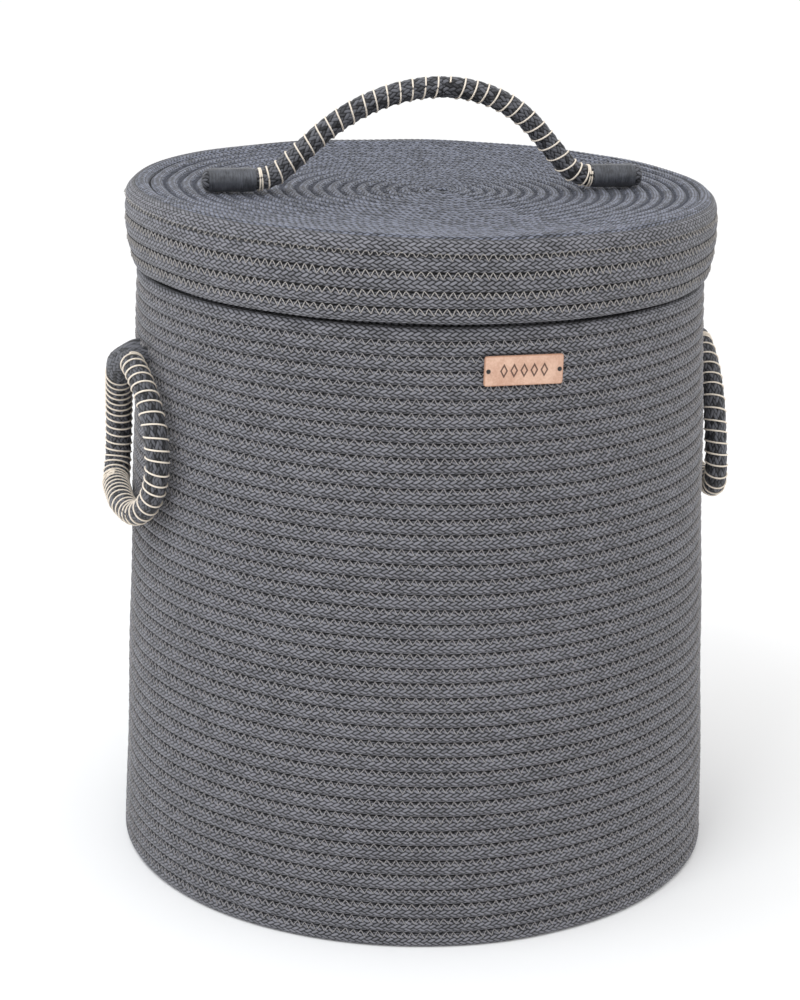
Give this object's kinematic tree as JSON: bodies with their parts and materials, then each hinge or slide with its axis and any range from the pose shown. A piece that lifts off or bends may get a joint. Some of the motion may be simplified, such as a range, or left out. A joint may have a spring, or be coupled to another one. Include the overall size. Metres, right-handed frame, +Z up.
{
  "type": "laundry hamper",
  "caption": "Round laundry hamper sewn from coiled rope, with a lift-off lid, an arched lid handle and two hinged side loops.",
  "frame": {"origin": "centre of the base on the floor", "axes": "+Z up along the basket's axis, carrying loops on -X and +X, name tag facing -Y"},
  "size_m": [0.425, 0.4036, 0.5203],
  "materials": {
    "coil_rope": "matt braided rope",
    "handle_rope": "matt dark braided rope",
    "twine": "matt cotton twine",
    "whipping_thread": "matt wound thread",
    "tag_leather": "smooth pale leather",
    "pin": "black"
  },
  "bodies": {
    "basket": {"base_coil": "coil_rope", "wall_coil": "coil_rope", "collar_coil": "coil_rope", "name_tag": "tag_leather", "tag_pins": "pin", "left_loop_tails": "handle_rope", "right_loop_tails": "handle_rope"},
    "lid": {"lid_top_coil": "coil_rope", "lid_skirt_coil": "coil_rope", "lid_handle_left_end": "handle_rope", "lid_handle_right_end": "handle_rope", "lid_handle_left_whipping": "whipping_thread", "lid_handle_right_whipping": "whipping_thread"},
    "lid_handle": {"lid_handle_rope": "handle_rope", "lid_handle_twine": "twine"},
    "left_loop": {"left_loop_rope": "handle_rope", "left_loop_twine": "twine", "left_twine_knot": "twine"},
    "right_loop": {"right_loop_rope": "handle_rope", "right_loop_twine": "twine", "right_twine_knot": "twine"}
  },
  "joints": [
    {"name": "lid_lift", "type": "slide", "parent": "basket", "child": "lid", "axis": [0, 0, 1], "range_m": [0, 0.3]},
    {"name": "lid_handle_bend", "type": "hinge", "parent": "lid", "child": "lid_handle", "pos_m": [-0.00105, -0.01195, 0.45414], "axis": [0.9962, -0.0872, 0], "range_deg": [-70, 70], "stiffness_Nm_per_rad": 0.15},
    {"name": "left_loop_swing", "type": "hinge", "parent": "basket", "child": "left_loop", "pos_m": [-0.19798, 0, 0.342], "axis": [0, 1, 0], "range_deg": [0, 150]},
    {"name": "right_loop_swing", "type": "hinge", "parent": "basket", "child": "right_loop", "pos_m": [0.19798, 0, 0.342], "axis": [0, -1, 0], "range_deg": [0, 150]}
  ]
}
